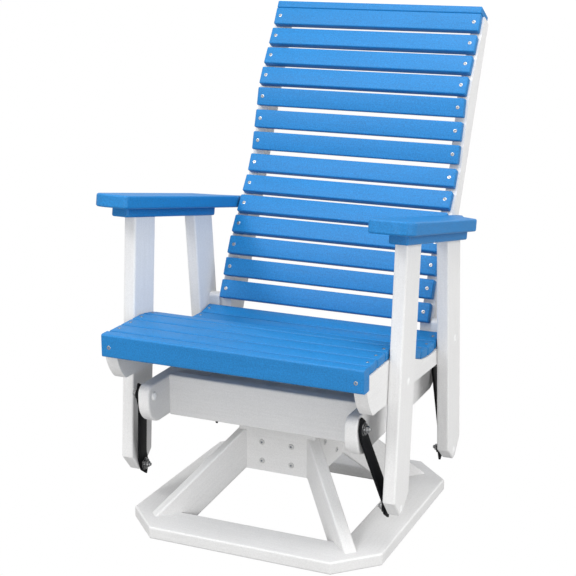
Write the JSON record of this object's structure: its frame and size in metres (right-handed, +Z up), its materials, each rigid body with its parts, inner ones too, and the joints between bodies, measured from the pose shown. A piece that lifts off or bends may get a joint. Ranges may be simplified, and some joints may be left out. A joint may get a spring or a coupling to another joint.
{
  "type": "adirondack swivel glider",
  "caption": "Slatted outdoor armchair in white and blue board that glides on four bent steel links and swivels on a low ring base.",
  "frame": {"origin": "on the floor, under the middle of the whole chair's bounding box; the swivel axis stands 105.2 mm in front of it", "axes": "+X to the sitter's left, +Y to the back of the chair, +Z up"},
  "size_m": [0.662, 0.8264, 1.0244],
  "materials": {
    "white_board": "solid white plastic lumber, faint skin texture",
    "blue_board": "solid bright blue plastic lumber with a fine pebbled grain",
    "black_steel": "black powder coat, satin",
    "plain_steel": "stainless, dull",
    "zinc_plate": "zinc plated pressed steel",
    "white_cap": "moulded white cap"
  },
  "bodies": {
    "base": {"ring_board_front": "white_board", "hub_plate_front": "white_board", "ring_board_left": "white_board", "hub_plate_left": "white_board", "ring_board_rear": "white_board", "hub_plate_rear": "white_board", "ring_board_right": "white_board", "hub_plate_right": "white_board", "base_strut_rear_left": "white_board", "base_strut_rear_right": "white_board", "base_strut_front_right": "white_board", "base_strut_front_left": "white_board", "base_screws": "plain_steel", "hub_cap_board": "white_board", "swivel_lower_plate": "zinc_plate", "swivel_ball_ring": "plain_steel", "swivel_lower_bolts": "plain_steel"},
    "glider_frame": {"swivel_upper_plate": "zinc_plate", "swivel_upper_bolts": "plain_steel", "swivel_rivet": "plain_steel", "swivel_board_front": "white_board", "swivel_board_rear": "white_board", "rail_left": "white_board", "rail_right": "white_board", "cross_board_front": "white_board", "cross_board_rear": "white_board", "frame_screws": "plain_steel", "rail_pivot_bolts": "plain_steel", "rail_pivot_nuts": "black_steel", "rail_bolt_covers": "white_cap"},
    "front_left_link": {"link_front_left": "black_steel", "link_bearings_front_left": "black_steel"},
    "front_right_link": {"link_front_right": "black_steel", "link_bearings_front_right": "black_steel"},
    "rear_left_link": {"link_rear_left": "black_steel", "link_bearings_rear_left": "black_steel"},
    "rear_right_link": {"link_rear_right": "black_steel", "link_bearings_rear_right": "black_steel"},
    "chair": {"leg_front_left": "white_board", "leg_front_right": "white_board", "leg_rear_left": "white_board", "leg_rear_right": "white_board", "seat_side_left": "white_board", "seat_side_right": "white_board", "seat_front_board": "blue_board", "seat_slats": "blue_board", "back_support_left": "white_board", "back_support_right": "white_board", "back_slats_lower": "blue_board", "back_slats_upper": "blue_board", "back_cap": "blue_board", "armrest_left": "blue_board", "armrest_right": "blue_board", "arm_cleat_left": "blue_board", "arm_cleat_right": "blue_board", "leg_bolts": "plain_steel", "leg_plugs": "white_cap", "leg_pivot_bolts": "plain_steel", "leg_pivot_nuts": "black_steel", "support_bolts": "plain_steel"}
  },
  "joints": [
    {"name": "chair_swivel", "type": "hinge", "parent": "base", "child": "glider_frame", "pos_m": [0, -0.10517, 0.2175], "axis": [0, 0, 1], "continuous": true},
    {"name": "front_left_link_swing", "type": "hinge", "parent": "glider_frame", "child": "front_left_link", "pos_m": [0.2415, -0.32617, 0.287], "axis": [1, 0, 0], "range_deg": [-15, 15]},
    {"name": "front_right_link_swing", "type": "hinge", "parent": "glider_frame", "child": "front_right_link", "pos_m": [-0.2415, -0.32617, 0.287], "axis": [1, 0, 0], "range_deg": [-15, 15]},
    {"name": "rear_left_link_swing", "type": "hinge", "parent": "glider_frame", "child": "rear_left_link", "pos_m": [0.2415, 0.11583, 0.287], "axis": [1, 0, 0], "range_deg": [-15, 15]},
    {"name": "rear_right_link_swing", "type": "hinge", "parent": "glider_frame", "child": "rear_right_link", "pos_m": [-0.2415, 0.11583, 0.287], "axis": [1, 0, 0], "range_deg": [-15, 15]},
    {"name": "chair_glide", "type": "hinge", "parent": "front_left_link", "child": "chair", "pos_m": [0.2675, -0.26917, 0.10995], "axis": [1, 0, 0], "range_deg": [-19.2, 19.2]}
  ],
  "couplings": [
    {"joint": "front_right_link_swing", "follows": "front_left_link_swing", "ratio": 1},
    {"joint": "rear_left_link_swing", "follows": "front_left_link_swing", "ratio": 0.9686},
    {"joint": "rear_right_link_swing", "follows": "front_left_link_swing", "ratio": 0.9686},
    {"joint": "chair_glide", "follows": "front_left_link_swing", "ratio": -1.2748}
  ]
}
